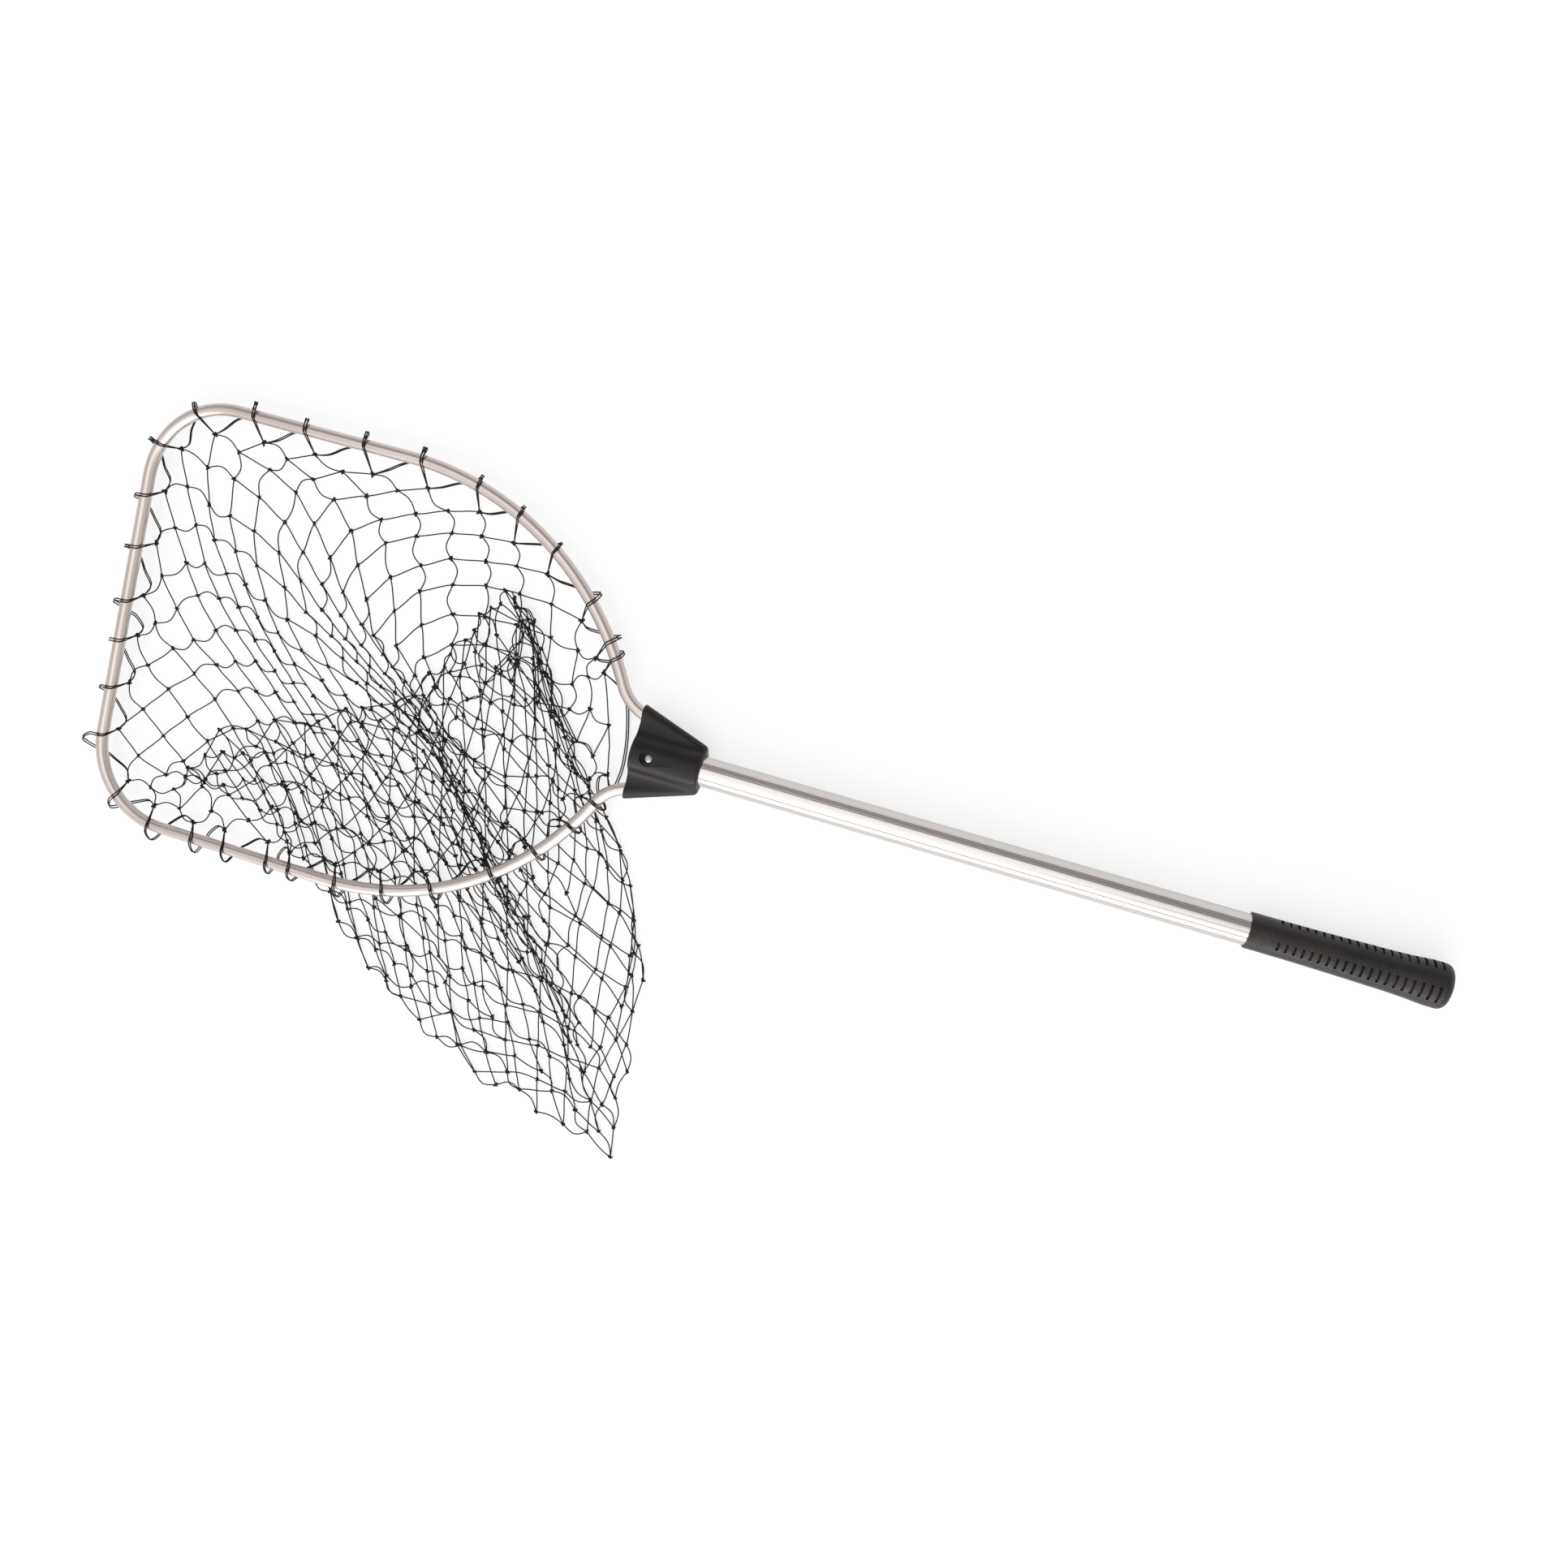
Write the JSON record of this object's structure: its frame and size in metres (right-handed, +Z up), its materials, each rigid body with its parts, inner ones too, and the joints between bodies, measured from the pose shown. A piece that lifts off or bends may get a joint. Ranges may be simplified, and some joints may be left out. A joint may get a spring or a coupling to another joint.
{
  "type": "landing net",
  "caption": "Hand net with a rounded hoop, a knotted twine bag laid flat, a moulded yoke with a snap button, and a tubular handle that slides through the yoke, ending in a ribbed grip.",
  "frame": {"origin": "on the ground, under the middle of the box round the whole net", "axes": "+X along the handle from the hoop to the grip, +Z up from the ground, +Y towards the side of the hoop that the bag isn't pulled out past"},
  "size_m": [1.2606, 0.6066, 0.0396],
  "materials": {
    "hoop_aluminium": "satin clear anodised, faintly warm",
    "handle_aluminium": "satin clear anodised with fine drawn grooves",
    "yoke_plastic": "moulded, satin, fine spark texture",
    "grip_rubber": "moulded, fine leather grain",
    "plug_plastic": "moulded polyethylene",
    "button_steel": "bright, lightly brushed dome",
    "spring_steel": "spring temper strip",
    "screw_steel": "zinc plated",
    "twine": "twisted nylon twine, coated"
  },
  "bodies": {
    "head": {"hoop_tube": "hoop_aluminium", "yoke": "yoke_plastic", "hoop_screw_left": "screw_steel", "hoop_screw_right": "screw_steel", "net_bag": "twine", "net_loops": "twine"},
    "handle": {"handle_tube": "handle_aluminium", "front_plug": "plug_plastic", "rear_plug": "plug_plastic", "grip": "grip_rubber", "button_spring": "spring_steel"},
    "button": {"lock_button": "button_steel"}
  },
  "joints": [
    {"name": "handle_slide", "type": "slide", "parent": "head", "child": "handle", "axis": [-1, 0, 0], "range_m": [0, 0.485]},
    {"name": "button_press", "type": "slide", "parent": "handle", "child": "button", "axis": [0, 0, -1], "range_m": [0, 0.0036], "stiffness_N_per_m": 1500, "springref_m": -0.002, "deforming": ["button_spring"]}
  ]
}
